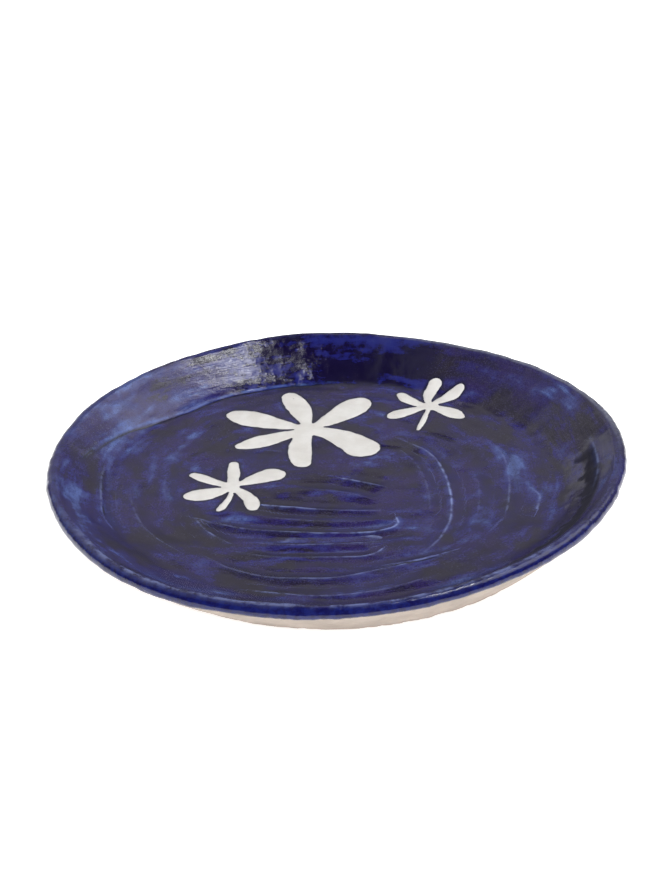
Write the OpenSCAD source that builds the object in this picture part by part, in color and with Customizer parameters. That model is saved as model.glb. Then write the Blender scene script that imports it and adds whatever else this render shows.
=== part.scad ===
// Hand painted ceramic plate, pinched and smoothed by hand.
// A thick cream earthenware dish on a low foot ring, coated over its face and
// lip with a thin cobalt blue glaze. Three six-petalled white enamel flowers
// sit in flower-shaped windows of the blue coat.
// Millimetres, +Z up. The plate stands on z = 0, the middle of its outline is on the Z axis.

/* [Dish] */
// Mean diameter of the dish across its lip
rim_d = 302; // [275:1:340]
// Mean height of the widest line of the lip above the table
rim_h = 24.6; // [22:0.2:34]
// How much higher the lip is on the +X side, and lower on the -X side
rim_lean = 3.1; // [0:0.1:5]
// Thickness of the rounded lip
lip_t = 7.4; // [6.5:0.1:9]
// Diameter of the floor, where the wall begins to rise
floor_d = 240; // [200:1:244]
// Height of the edge of the floor above the table
floor_z = 12; // [10:0.5:14]
// How much lower the middle of the floor is than its edge
floor_dish = 0.8; // [0:0.1:2]
// Radius of the cove between floor and wall
cove_r = 16; // [8:1:24]
// Diameter of the lower outside corner of the wall
heel_d = 255; // [246:1:262]
// Height of the underside of the floor above the table
under_z = 4; // [3:0.5:5]
// How strongly the outline departs from a circle, 0 is round
hand_wobble = 1; // [0:0.1:1.5]

/* [Glaze] */
// Thickness of the blue glaze coat
coat_t = 0.6; // [0.4:0.1:1]
// How far the glaze runs below the widest line of the lip at the front, in degrees of the lip's round
coat_run = 32; // [0:1:45]
// The same at the sides and the back, where it was brushed on more freely
coat_side = 50; // [45:1:52]

/* [Foot] */
// Outer diameter of the foot ring
foot_d = 222; // [200:1:240]
// Width of the foot ring at the table
foot_w = 8; // [6:0.5:12]
// Rounding of the foot ring's lower edges
foot_edge = 1; // [0.5:0.1:1.5]

/* [Flowers] */
// Size of the large flower, 1 is about 95 mm across
large_size = 1; // [0.8:0.05:1.05]
// Size of the two small flowers, 1 is about 55 mm across
small_size = 1; // [0.8:0.05:1.1]

/* [Hidden] */

// sections around the dish, and steps along its cove and its lip
SEG = 90;
COVE_N = 4;
LIP_N = 9;
RUN_N = 3;

// the outline's departure from a circle: [waves around, cosine part, sine part]
WOBBLE = [[1, 0.9, 1.3], [2, -0.3, 0], [3, 1.5, 0.35], [4, 1, 0.2], [5, -0.2, 0.5]];
// the lip's unevenness in height, given the same way
SWAY = [[1, 0, 0.3], [2, 0.3, -0.2], [3, 0.3, 0.4], [7, 0.2, -0.2]];
// the lower corner is longer from front to back than from side to side
HEEL = [[2, -3, -0.2]];
function waves(t, a) = len(t) == 0 ? 0 : [for (w = t) w[1] * cos(w[0] * a) + w[2] * sin(w[0] * a)] * [for (w = t) 1];
function ang(i) = 360 * i / SEG;

// the middle of the wobbly outline, which is moved to the Z axis
function raw_r(a) = rim_d / 2 + hand_wobble * waves(WOBBLE, a);
RAW_X = [for (i = [0 : SEG - 1]) raw_r(ang(i)) * cos(ang(i))];
RAW_Y = [for (i = [0 : SEG - 1]) raw_r(ang(i)) * sin(ang(i))];
MID = [(max(RAW_X) + min(RAW_X)) / 2, (max(RAW_Y) + min(RAW_Y)) / 2];

// radius of the lip's widest line, and the centre and slope of the wall at each angle
function out_r(a) = raw_r(a);
function lip_z(a) = rim_h + rim_lean * cos(a) + hand_wobble * waves(SWAY, a);
function edge_r(a) = floor_d / 2 + 2 * cos(a);
function heel_r(a) = heel_d / 2 + hand_wobble * waves(HEEL, a);
// where the coat ends on the lip at each angle: high over the front, low elsewhere
function run(a) =
    let (t = max(0, min(1, (acos(cos(a + 81)) - 29) / 9)))
    coat_run + (coat_side - coat_run) * t * t * (3 - 2 * t);
function lip_c(a) = [out_r(a) - lip_t / 2, lip_z(a)];
function slope(a) =
    let (c = lip_c(a), dx = c[0] - edge_r(a), dz = c[1] - floor_z)
    atan2(dz, dx) + asin(lip_t / 2 / norm([dx, dz]));
function cove_in(a) = edge_r(a) - cove_r * tan(slope(a) / 2);

// half section of the eating face at angle a, d below the glaze: [radius, height]
function face(a, d) =
    let (s = slope(a), ri = cove_in(a), c = lip_c(a), q = lip_t / 2 - d,
         cove_out = [ri + (cove_r + d) * sin(s), floor_z + cove_r - (cove_r + d) * cos(s)],
         lip_in = [c[0] - q * sin(s), c[1] + q * cos(s)])
    concat(
        [for (f = [0.3, 0.6, 0.85]) [ri * f, floor_z - d - floor_dish * (1 - f * f)]],
        [for (i = [0 : COVE_N]) let (b = s * i / COVE_N)
            [ri + (cove_r + d) * sin(b), floor_z + cove_r - (cove_r + d) * cos(b)]],
        [for (f = [0.33, 0.67]) cove_out + (lip_in - cove_out) * f],
        [for (i = [0 : LIP_N]) let (b = 90 + s - (90 + s + run(a)) * i / LIP_N)
            [c[0] + q * cos(b), c[1] + q * sin(b)]]);

// half section of the bare outside at angle a, from the glaze edge to the underside
function outside(a) =
    let (c = lip_c(a), q = lip_t / 2 - coat_t, k = [heel_r(a), under_z + 1],
         last = [c[0] + q * cos(-55), c[1] + q * sin(-55)])
    concat(
        [for (i = [1 : RUN_N]) let (b = -run(a) - (55 - run(a)) * i / RUN_N)
            [c[0] + q * cos(b), c[1] + q * sin(b)]],
        [for (f = [0.35, 0.7]) last + (k - last) * f + [0.3, -0.3] * sin(180 * f)],
        [k, [heel_r(a) - 0.7, under_z + 0.35], [heel_r(a) - 2.2, under_z]],
        [for (f = [0.9, 0.6, 0.3]) [heel_r(a) * f, under_z]]);

// closed skin through a grid of rings, rows[i][j] = [radius, height], capped at both ends on the axis
module lathe_grid(rows, top_z, end_z) {
    m = len(rows[0]);
    pts = concat(
        [for (i = [0 : SEG - 1]) for (p = rows[i]) [p[0] * cos(ang(i)) - MID[0], p[0] * sin(ang(i)) - MID[1], p[1]]],
        [[-MID[0], -MID[1], top_z], [-MID[0], -MID[1], end_z]]);
    tip = SEG * m;
    polyhedron(pts, concat(
        [for (i = [0 : SEG - 1]) let (n = (i + 1) % SEG) for (j = [0 : m - 2]) each
            [[i * m + j, n * m + j + 1, i * m + j + 1], [i * m + j, n * m + j, n * m + j + 1]]],
        [for (i = [0 : SEG - 1]) let (n = (i + 1) % SEG) [tip, n * m, i * m]],
        [for (i = [0 : SEG - 1]) let (n = (i + 1) % SEG) [tip + 1, i * m + m - 1, n * m + m - 1]]),
        convexity = 6);
}

// the whole glaze coat, face and lip, before the flowers are cut out of it
module coat() {
    lathe_grid(
        [for (i = [0 : SEG - 1]) let (a = ang(i), top = face(a, 0), low = face(a, coat_t))
            concat(top, [for (j = [len(low) - 1 : -1 : 0]) low[j]])],
        floor_z - floor_dish, floor_z - floor_dish - coat_t);
}

// one petal about the flower's middle:
// [angle at root, angle at tip, length, root width, widest width, where it is widest, tip width]
module petal(p) {
    function at(r, a, w) = [r * cos(a), r * sin(a), w / 2];
    chain = [
        at(p[2] * 0.12, p[0], p[3]),
        at(p[2] * p[5] - (1 - p[5]) * p[4] / 2, p[0] + (p[1] - p[0]) * p[5], p[4]),
        at(p[2] - p[6] / 2, p[1], p[6])];
    for (i = [0 : 1]) hull() {
        translate([chain[i][0], chain[i][1]]) circle(r = chain[i][2], $fn = 20);
        translate([chain[i + 1][0], chain[i + 1][1]]) circle(r = chain[i + 1][2], $fn = 20);
    }
}
module flower_shape(petals, hub_r, size) {
    scale([size, size]) {
        circle(r = hub_r, $fn = 20);
        for (p = petals) petal(p);
    }
}

// where each flower is, [x, y] of its middle from the middle of the floor, and its six petals
LARGE_AT = [-13, 63];
LARGE = [[40, 46, 48, 5, 17.5, 0.78, 13.5], [97, 104, 45, 5, 14, 0.68, 10],
         [159, 156, 48.5, 4.5, 17, 0.76, 11.5], [209, 206, 43.5, 5, 12.5, 0.68, 7],
         [252, 265, 42.5, 8.5, 13, 0.66, 10], [341, 319.5, 45.5, 9, 19.5, 0.84, 15]];
LEFT_AT = [-53, -1];
LEFT = [[38, 32, 31.5, 2, 13.5, 0.84, 11], [86, 89, 28.5, 5, 6.5, 0.6, 5],
        [145, 144, 27.5, 4, 7, 0.7, 5], [212, 200, 26.5, 5, 11.5, 0.72, 7],
        [270, 255, 25, 2, 4.2, 0.85, 2.6], [322, 299, 26.5, 4.5, 8, 0.78, 6]];
RIGHT_AT = [55, 87];
RIGHT = [[50, 41, 25.5, 3, 8, 0.75, 5.5], [102, 79, 26, 2.5, 7.5, 0.88, 6.5],
         [158, 137, 23.5, 4, 7.5, 0.7, 5], [203, 207, 27, 4, 9, 0.78, 6],
         [256, 254, 29, 2, 3.2, 0.75, 2], [327, 321, 23, 5.5, 10, 0.7, 6]];
module prism(place, petals, hub_r, size) {
    translate([place[0] - MID[0], place[1] - MID[1], floor_z - 4])
        linear_extrude(40) flower_shape(petals, hub_r, size);
}
module large_prism() { prism(LARGE_AT, LARGE, 7, large_size); }
module left_prism() { prism(LEFT_AT, LEFT, 4.2, small_size); }
module right_prism() { prism(RIGHT_AT, RIGHT, 4.6, small_size); }

// Thick cream earthenware dish, bare on the outside and underneath
module clay_body() {
    color([0.80, 0.73, 0.66])
    lathe_grid([for (i = [0 : SEG - 1]) let (a = ang(i)) concat(face(a, coat_t), outside(a))],
        floor_z - floor_dish - coat_t, under_z);
}

// Low ring of clay, luted under the dish, that the plate stands on
module foot_ring() {
    color([0.76, 0.68, 0.60])
    rotate_extrude($fn = 180)
        polygon([[foot_d / 2 - foot_w - 0.8, under_z], [foot_d / 2 - foot_w, foot_edge],
                 [foot_d / 2 - foot_w + foot_edge, 0], [foot_d / 2 - foot_edge, 0],
                 [foot_d / 2, foot_edge], [foot_d / 2 + 0.8, under_z]]);
}

// Blue coat over the face and the lip, with a window for each flower
module cobalt_glaze() {
    color([0.10, 0.09, 0.36])
    difference() {
        coat();
        large_prism();
        left_prism();
        right_prism();
    }
}

// White enamel flowers, each filling its window
module flower_large() { color([0.93, 0.92, 0.90]) intersection() { coat(); large_prism(); } }
module flower_small_left() { color([0.93, 0.92, 0.90]) intersection() { coat(); left_prism(); } }
module flower_small_right() { color([0.93, 0.92, 0.90]) intersection() { coat(); right_prism(); } }

clay_body();
foot_ring();
cobalt_glaze();
flower_large();
flower_small_left();
flower_small_right();
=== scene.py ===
import math

import bpy
import numpy as np
from mathutils import Matrix, Vector


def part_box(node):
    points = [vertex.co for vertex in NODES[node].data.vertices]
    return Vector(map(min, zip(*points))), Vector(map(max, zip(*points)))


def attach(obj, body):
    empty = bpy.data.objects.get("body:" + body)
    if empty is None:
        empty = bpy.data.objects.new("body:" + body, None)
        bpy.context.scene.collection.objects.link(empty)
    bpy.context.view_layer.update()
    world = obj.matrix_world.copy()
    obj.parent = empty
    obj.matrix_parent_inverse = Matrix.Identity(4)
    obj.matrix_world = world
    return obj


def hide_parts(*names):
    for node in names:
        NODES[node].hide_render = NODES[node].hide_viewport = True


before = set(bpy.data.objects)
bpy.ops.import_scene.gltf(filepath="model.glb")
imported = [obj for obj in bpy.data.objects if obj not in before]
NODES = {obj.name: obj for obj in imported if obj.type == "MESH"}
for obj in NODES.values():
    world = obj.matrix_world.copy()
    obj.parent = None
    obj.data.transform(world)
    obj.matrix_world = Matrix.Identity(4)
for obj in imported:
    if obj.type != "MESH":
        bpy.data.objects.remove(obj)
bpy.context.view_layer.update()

MM = 0.001
rng = np.random.default_rng(7)

# ------------------------------------------------------------------ the dish's own shape, in millimetres
RIM_R, RIM_H, LEAN, LIP_T = 151.0, 24.6, 3.1, 7.4
FLOOR_R, FLOOR_Z, DISH, COVE_R = 120.0, 12.0, 0.8, 16.0
HEEL_R, UNDER_Z, COAT, RUN, RUN_SIDE = 127.5, 4.0, 0.6, 32.0, 50.0
WOBBLE = [(1, 0.9, 1.3), (2, -0.3, 0.0), (3, 1.5, 0.35), (4, 1.0, 0.2), (5, -0.2, 0.5)]
SWAY = [(1, 0.0, 0.3), (2, 0.3, -0.2), (3, 0.3, 0.4), (7, 0.2, -0.2)]
HEEL = [(2, -3.0, -0.2)]


def waves(table, a):
    return sum(c * np.cos(n * a) + s * np.sin(n * a) for n, c, s in table)


def out_r(a):
    return RIM_R + waves(WOBBLE, a)


def lip_z(a):
    return RIM_H + LEAN * np.cos(a) + waves(SWAY, a)


def run_at(a):
    """Where the coat ends on the lip: high over the front, low at the sides and the back."""
    t = np.clip((np.degrees(np.arccos(np.clip(np.cos(a + math.radians(81)), -1, 1))) - 29) / 9, 0, 1)
    return RUN + (RUN_SIDE - RUN) * t * t * (3 - 2 * t)


_a = np.radians(4.0 * np.arange(90))
_x, _y = out_r(_a) * np.cos(_a), out_r(_a) * np.sin(_a)
MID = np.array([(_x.max() + _x.min()) / 2, (_y.max() + _y.min()) / 2])
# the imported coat's box says where the middle of the outline really is
_lo, _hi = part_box("cobalt_glaze")
MID -= np.array([(_lo.x + _hi.x) / 2, (_lo.y + _hi.y) / 2]) / MM


def smooth(t, a, b):
    t = np.clip((t - a) / (b - a), 0.0, 1.0)
    return t * t * (3 - 2 * t)


# ------------------------------------------------------------------ noise
class Noise:
    """Smooth lattice noise in three dimensions, about -1 to 1."""

    def __init__(self, seed):
        self.t = np.random.default_rng(seed).uniform(-1, 1, (32, 32, 32))

    def __call__(self, x, y, z=0.0):
        x, y, z = np.broadcast_arrays(np.asarray(x, float), np.asarray(y, float), np.asarray(z, float))
        i, j, k = np.floor(x).astype(int), np.floor(y).astype(int), np.floor(z).astype(int)
        u, v, w = x - i, y - j, z - k
        u, v, w = (q * q * q * (q * (6 * q - 15) + 10) for q in (u, v, w))
        t, m = self.t, 31
        r = 0
        for di, wi in ((0, 1 - u), (1, u)):
            for dj, wj in ((0, 1 - v), (1, v)):
                for dk, wk in ((0, 1 - w), (1, w)):
                    r = r + wi * wj * wk * t[(i + di) & m, (j + dj) & m, (k + dk) & m]
        return r


N1, N2, N3, N4 = Noise(1), Noise(2), Noise(3), Noise(4)


def fbm(n, x, y, z=0.0, octaves=3):
    r, a = 0, 1.0
    for k in range(octaves):
        f = 2.0 ** k
        r = r + a * n(x * f + 7.3 * k, y * f - 3.1 * k, np.asarray(z) * f + 1.7 * k)
        a *= 0.5
    return r


# ------------------------------------------------------------------ marks that the fingers and the brush left
# each ridge: its points in mm from the middle of the floor, height, half width, valley beside it, how light the
# glaze breaks over it at its start, middle and end
RIDGES = [
    ([(-36, -19.5), (-20, -22.5), (-4, -25.5), (12, -27), (26, -27.5)], 0.45, 0.9, 0.55, (1.0, 0.35, 0.12)),
    ([(-71, -32), (-60, -38), (-45, -44), (-24, -47.5), (0, -49.5), (18, -49), (29, -46), (33, -41), (32.5, -36)],
     0.50, 0.9, 0.60, (0.30, 0.35, 1.0)),
    ([(-36, -59), (-20, -61), (0, -60.5), (14, -60), (28, -58.5)], 0.42, 0.9, 0.55, (0.15, 0.45, 0.35)),
    ([(-49, -68), (-36, -72.5), (-21, -74.5), (0, -75), (14, -75), (21, -72), (24, -68)], 0.42, 1.0, 0.55, (0.1, 0.15, 0.7)),
    ([(-70, -35), (-66, -43), (-60, -52), (-52, -60)], 0.26, 0.9, 0.12, (0.5, 0.55, 0.1)),
    ([(-62, -76), (-53, -85), (-42, -91.5), (-30, -95.5), (-15, -97), (0, -97), (19, -91.5), (38, -84), (56, -75)],
     0.46, 1.0, 0.50, (0.1, 0.5, 0.6)),
    ([(6, 7), (16, 2.5), (28, -3.5)], 0.40, 1.0, 0.35, (0.7, 0.45, 0.1)),
    ([(-20, -5), (-6, -4.5), (10, -9), (22, -17)], 0.34, 1.8, 0.40, (0.0, 0.1, 0.0)),
    ([(40, 47), (49, 38), (55, 27), (59, 12), (61, -5), (61.5, -22), (60, -38), (56, -53), (50, -66), (43, -75)],
     0.40, 0.9, 0.40, (0.25, 1.0, 0.1)),
    ([(38, 36), (44, 24), (48, 8), (50, -10), (50, -26)], 0.22, 2.6, 0.25, (0.1, 0.2, 0.1)),
    ([(88, 40), (92, 25), (93, 7), (92, -12), (88, -36), (80, -52)], 0.28, 1.4, 0.30, (0.1, 0.35, 0.1)),
    ([(104, -8), (107.5, -17), (105, -30)], 0.26, 1.1, 0.1, (0.2, 0.55, 0.75)),
    ([(-121, 20), (-122, 8), (-121, -9), (-118, -31), (-112, -46)], 0.40, 1.2, 0.35, (0.1, 0.55, 0.15)),
    ([(-106, 8), (-106, -6), (-103, -22), (-98, -38), (-90, -53), (-80, -66)], 0.28, 1.8, 0.35, (0.0, 0.18, 0.1)),
    ([(72, 20), (76, 2), (76, -18), (73, -38), (66, -55)], 0.18, 2.2, 0.12, (0.0, 0.12, 0.0)),
    ([(-84, 30), (-88, 14), (-88, -6), (-84, -26)], 0.18, 2.4, 0.12, (0.0, 0.1, 0.0)),
    ([(-60, -20), (-30, -33), (0, -37.5), (30, -37)], 0.2, 1.6, 0.12, (0.0, 0.12, 0.0)),
    ([(-38, -109), (-10, -115), (20, -111), (48, -99)], 0.30, 1.4, 0.30, (0.55, 0.3, 0.05)),
    ([(24, -84.5), (38, -82), (52, -77), (62, -72)], 0.2, 1.0, 0.1, (0.2, 0.5, 0.3)),
    ([(-3, 33), (-34, 40), (-62, 41)], 0.14, 1.8, 0.1, (0.0, 0.1, 0.0)),
    ([(137, 24), (138.5, 12), (139, 0), (138, -14), (134, -28)], 0.50, 0.9, 0.42, (0.1, 0.5, 0.1)),
]
# scratches: thin dark cuts, [points, depth, half width]
CUTS = [
    ([(23, 42.5), (31, 40.5), (39, 39.5)], 0.60, 0.85),
    ([(48, 57), (57, 53), (69, 44.5)], 0.70, 0.90),
    ([(-78, 33), (-70, 40), (-64, 46)], 0.3, 0.6),
    ([(-133, 18), (-130, 27), (-127, 33)], 0.3, 0.6),
    ([(-119, -20), (-117, -31)], 0.3, 0.7),
    ([(26, -86), (40, -83.5), (52, -79)], 0.3, 0.8),
]
# brush loads, thin and pale or thick and dark: [middle, half length, half width, direction in degrees, strength]. The
# narrow streaks at (-139, -42), (134, 4) and (141.5, 0) are partly painted light: a painted highlight along the top of
# the left wall, and a painted dark reflection with a painted highlight beside it on the right wall
DABS = [
    ((-48, -34), 13, 6.5, -12, 0.75), ((96, 2), 11, 6, -75, 0.5), ((106, -17), 12, 5.5, -70, 0.5),
    ((-120, 92), 24, 12, 50, 0.3), ((-138, -8), 24, 5, 92, 0.45), ((-136, 60), 26, 10, 68, 0.35),
    ((44, 26), 11, 9, -50, 0.35), ((48, -40), 20, 4, -80, 0.35), ((-66, -113), 22, 6, -30, 0.35),
    ((-72, 108), 22, 7, 32, 0.45), ((110, 52), 26, 4.5, -62, 0.55), ((94, 28), 26, 4.5, -66, 0.5),
    ((-48, -62), 12, 4, -15, 0.3), ((14, -44), 22, 2.6, 0, 0.4), ((5, -54), 30, 2.6, 0, 0.35), ((0, -68), 26, 2.4, 0, 0.4),
    ((-17, 144), 30, 3.5, 6, 0.2), ((45, 135), 24, 3.5, -18, 0.15), ((10, 132), 12, 4, -5, 0.35), ((60, -112), 26, 5, 28, 0.3),
    ((-92, 62), 30, 14, 40, 0.15), ((-84, 34), 24, 10, 30, 0.3), ((-60, 84), 22, 7, 25, 0.25), ((-139, -42), 16, 2.5, -73, 1.1),
    ((134, 4), 16, 2.6, 88, -0.9), ((141.5, 0), 18, 1.8, 90, 0.8), ((97, 76), 16, 9, -45, -0.5), ((64, -84), 14, 5, 30, 0.35), ((-106, -60), 22, 5, -58, 0.35),
    ((-66, -52), 15, 8, -30, -0.6), ((-44, -92), 24, 8, -22, -0.5), ((0, -104), 34, 6, 2, -0.55),
    ((8, 126), 30, 8, -4, -0.6), ((56, 120), 20, 8, -25, -0.6), ((86, 84), 18, 8, -45, -0.7), ((102, 72), 14, 6, -50, -0.5),
    ((30, -2), 16, 10, -20, -0.4), ((134, 20), 22, 7, -80, -0.3), ((-96, 20), 20, 10, 80, -0.25), ((78, -60), 20, 8, 60, -0.45),
    ((-30, 16), 16, 7, 0, -0.3), ((70, -20), 24, 6, -80, -0.35), ((-10, -30), 20, 4, -4, -0.3), ((0, -80), 30, 3.5, 0, -0.4),
]


def spline(points, step=1.0):
    """Catmull-Rom through the points, resampled, with its place from 0 to 1."""
    p = np.array(points, float)
    p = np.vstack([2 * p[0] - p[1], p, 2 * p[-1] - p[-2]])
    out = []
    for i in range(1, len(p) - 2):
        t = np.linspace(0, 1, 12, endpoint=False)[:, None]
        a, b, c, d = p[i - 1], p[i], p[i + 1], p[i + 2]
        out.append(0.5 * (2 * b + (c - a) * t + (2 * a - 5 * b + 4 * c - d) * t ** 2 + (3 * b - a - 3 * c + d) * t ** 3))
    out.append(p[-2][None])
    q = np.vstack(out)
    s = np.r_[0, np.cumsum(np.hypot(*np.diff(q, axis=0).T))]
    k = max(3, int(s[-1] / step))
    u = np.linspace(0, s[-1], k)
    return np.stack([np.interp(u, s, q[:, 0]), np.interp(u, s, q[:, 1])], 1), u / s[-1]


def nearest(xy, points):
    """For each point: signed distance to the line (left side positive), place along it from 0 to 1."""
    q, u = spline(points)
    lo, hi = q.min(0) - 14, q.max(0) + 14
    near = np.where(np.all((xy > lo) & (xy < hi), 1))[0]
    d = np.full(len(xy), 99.0)
    place = np.zeros(len(xy))
    if len(near) == 0:
        return d, place
    a, b = q[:-1], q[1:]
    ab = b - a
    best = np.full(len(near), 1e9)
    bp, bs = np.zeros(len(near)), np.zeros(len(near))
    P = xy[near]
    for k in range(len(a)):
        ap = P - a[k]
        t = np.clip((ap @ ab[k]) / (ab[k] @ ab[k]), 0, 1)
        v = ap - t[:, None] * ab[k]
        dd = np.hypot(v[:, 0], v[:, 1])
        m = dd < best
        best[m] = dd[m]
        bp[m] = u[k] + (u[k + 1] - u[k]) * t[m]
        bs[m] = np.sign(ab[k][0] * ap[m, 1] - ab[k][1] * ap[m, 0])
    d[near] = best * np.where(bs == 0, 1, bs)
    place[near] = bp
    return d, place


# ------------------------------------------------------------------ flowers, as the CAD has them
FLOWERS = {
    "flower_large": ((-13, 63), 7.0, [
        (40, 46, 48, 5, 17.5, 0.78, 13.5), (97, 104, 45, 5, 14, 0.68, 10), (159, 156, 48.5, 4.5, 17, 0.76, 11.5),
        (209, 206, 43.5, 5, 12.5, 0.68, 7), (252, 265, 42.5, 8.5, 13, 0.66, 10), (341, 319.5, 45.5, 9, 19.5, 0.84, 15)]),
    "flower_small_left": ((-53, -1), 4.2, [
        (38, 32, 31.5, 2, 13.5, 0.84, 11), (86, 89, 28.5, 5, 6.5, 0.6, 5), (145, 144, 27.5, 4, 7, 0.7, 5),
        (212, 200, 26.5, 5, 11.5, 0.72, 7), (270, 255, 25, 2, 4.2, 0.85, 2.6), (322, 299, 26.5, 4.5, 8, 0.78, 6)]),
    "flower_small_right": ((55, 87), 4.6, [
        (50, 41, 25.5, 3, 8, 0.75, 5.5), (102, 79, 26, 2.5, 7.5, 0.88, 6.5), (158, 137, 23.5, 4, 7.5, 0.7, 5),
        (203, 207, 27, 4, 9, 0.78, 6), (256, 254, 29, 2, 3.2, 0.75, 2), (327, 321, 23, 5.5, 10, 0.7, 6)]),
}


def cone(p, a, ra, b, rb):
    """Signed distance from points p to the hull of two circles."""
    ba = b - a
    l = np.hypot(*ba)
    e = ba / l
    n = np.array([-e[1], e[0]])
    q = p - a
    x, y = q @ e, np.abs(q @ n)
    k = (ra - rb) / l
    c = math.sqrt(max(1e-9, 1 - k * k))
    # along the slanted side
    t = (x + y * k / c) if c > 0 else x
    side = y * c + x * k - ra
    d1, d2 = np.hypot(x, y) - ra, np.hypot(x - l, y) - rb
    s = x * c - y * k  # place along the side, from the first tangent point
    return np.where(s < 0, d1, np.where(s > l * c, d2, side))


def petal_chain(p):
    """The petal as a row of discs: slender at the root, swelling, and round at the tip."""
    r0, r1, r2 = p[2] * 0.12, p[2] * p[5] - (1 - p[5]) * p[4] / 2, p[2] - p[6] / 2
    out = []
    for t in (0, 0.25, 0.5, 0.75, 1.0):
        f = t * (r1 - r0) / (r2 - r0)
        w = p[3] + (p[4] - p[3]) * (1 - (1 - t) ** 1.45)
        out.append((r0 + (r1 - r0) * t, p[0] + (p[1] - p[0]) * p[5] * t, w))
    for t in (0.35, 0.7, 1.0):
        w = p[4] + (p[6] - p[4]) * t ** 1.7
        out.append((r1 + (r2 - r1) * t, p[0] + (p[1] - p[0]) * (p[5] + (1 - p[5]) * t), w))
    return [(np.array([r * math.cos(math.radians(a)), r * math.sin(math.radians(a))]), w / 2) for r, a, w in out]


def flower_sd(xy, name):
    """Signed distance to a flower's outline, in mm, below 0 inside. xy is measured from the middle of the floor."""
    (cx, cy), hub, petals = FLOWERS[name]
    q = xy - np.array([cx, cy])
    d = np.hypot(q[:, 0], q[:, 1]) - hub
    for p in petals:
        ch = petal_chain(p)
        e = np.full(len(q), 99.0)
        for (a0, w0), (a1, w1) in zip(ch[:-1], ch[1:]):
            e = np.minimum(e, cone(q, a0, w0, a1, w1))
        # petals run together in small fillets, as a loaded brush leaves them
        h = np.clip(0.5 + 0.5 * (d - e) / 1.2, 0, 1)
        d = d * (1 - h) + e * h - 1.2 * h * (1 - h)
    return d


# ------------------------------------------------------------------ sections of the dish
def section(a, depth, nf, nc, nw, nl, run):
    """Grids over angles a: radius, height, outward normal (radial part, height part), and region 0 floor, 1 cove, 2 wall, 3 lip."""
    a = a[:, None]
    cr, cz = out_r(a) - LIP_T / 2, lip_z(a)
    er = FLOOR_R + 2 * np.cos(a)
    dx, dz = cr - er, cz - FLOOR_Z
    s = np.arctan2(dz, dx) + np.arcsin(LIP_T / 2 / np.hypot(dx, dz))
    ri = er - COVE_R * np.tan(s / 2)
    q = LIP_T / 2 - depth
    t = np.linspace(0, 1, nf + 1)[None, 1:]
    f_r, f_z = ri * t, FLOOR_Z - depth - DISH * (1 - t * t) + 0 * ri
    b = s * np.linspace(0, 1, nc + 1)[None, 1:]
    c_r, c_z = ri + (COVE_R + depth) * np.sin(b), FLOOR_Z + COVE_R - (COVE_R + depth) * np.cos(b)
    l_r, l_z = cr - q * np.sin(s), cz + q * np.cos(s)
    t = np.linspace(0, 1, nw + 1)[None, 1:]
    w_r, w_z = c_r[:, -1:] + (l_r - c_r[:, -1:]) * t, c_z[:, -1:] + (l_z - c_z[:, -1:]) * t
    g = (math.pi / 2 + s) - (math.pi / 2 + s + run) * np.linspace(0, 1, nl + 1)[None, 1:]
    k_r, k_z = cr + q * np.cos(g), cz + q * np.sin(g)
    r = np.hstack([f_r, c_r, w_r, k_r])
    z = np.hstack([f_z, c_z, w_z, k_z])
    nr = np.hstack([0 * f_r, -np.sin(b), -np.sin(s) + 0 * w_r, np.cos(g)])
    nz = np.hstack([0 * f_r + 1, np.cos(b), np.cos(s) + 0 * w_r, np.sin(g)])
    reg = np.hstack([0 * f_r, 0 * c_r + 1, 0 * w_r + 2, 0 * k_r + 3])
    return r, z, nr, nz, reg


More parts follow.
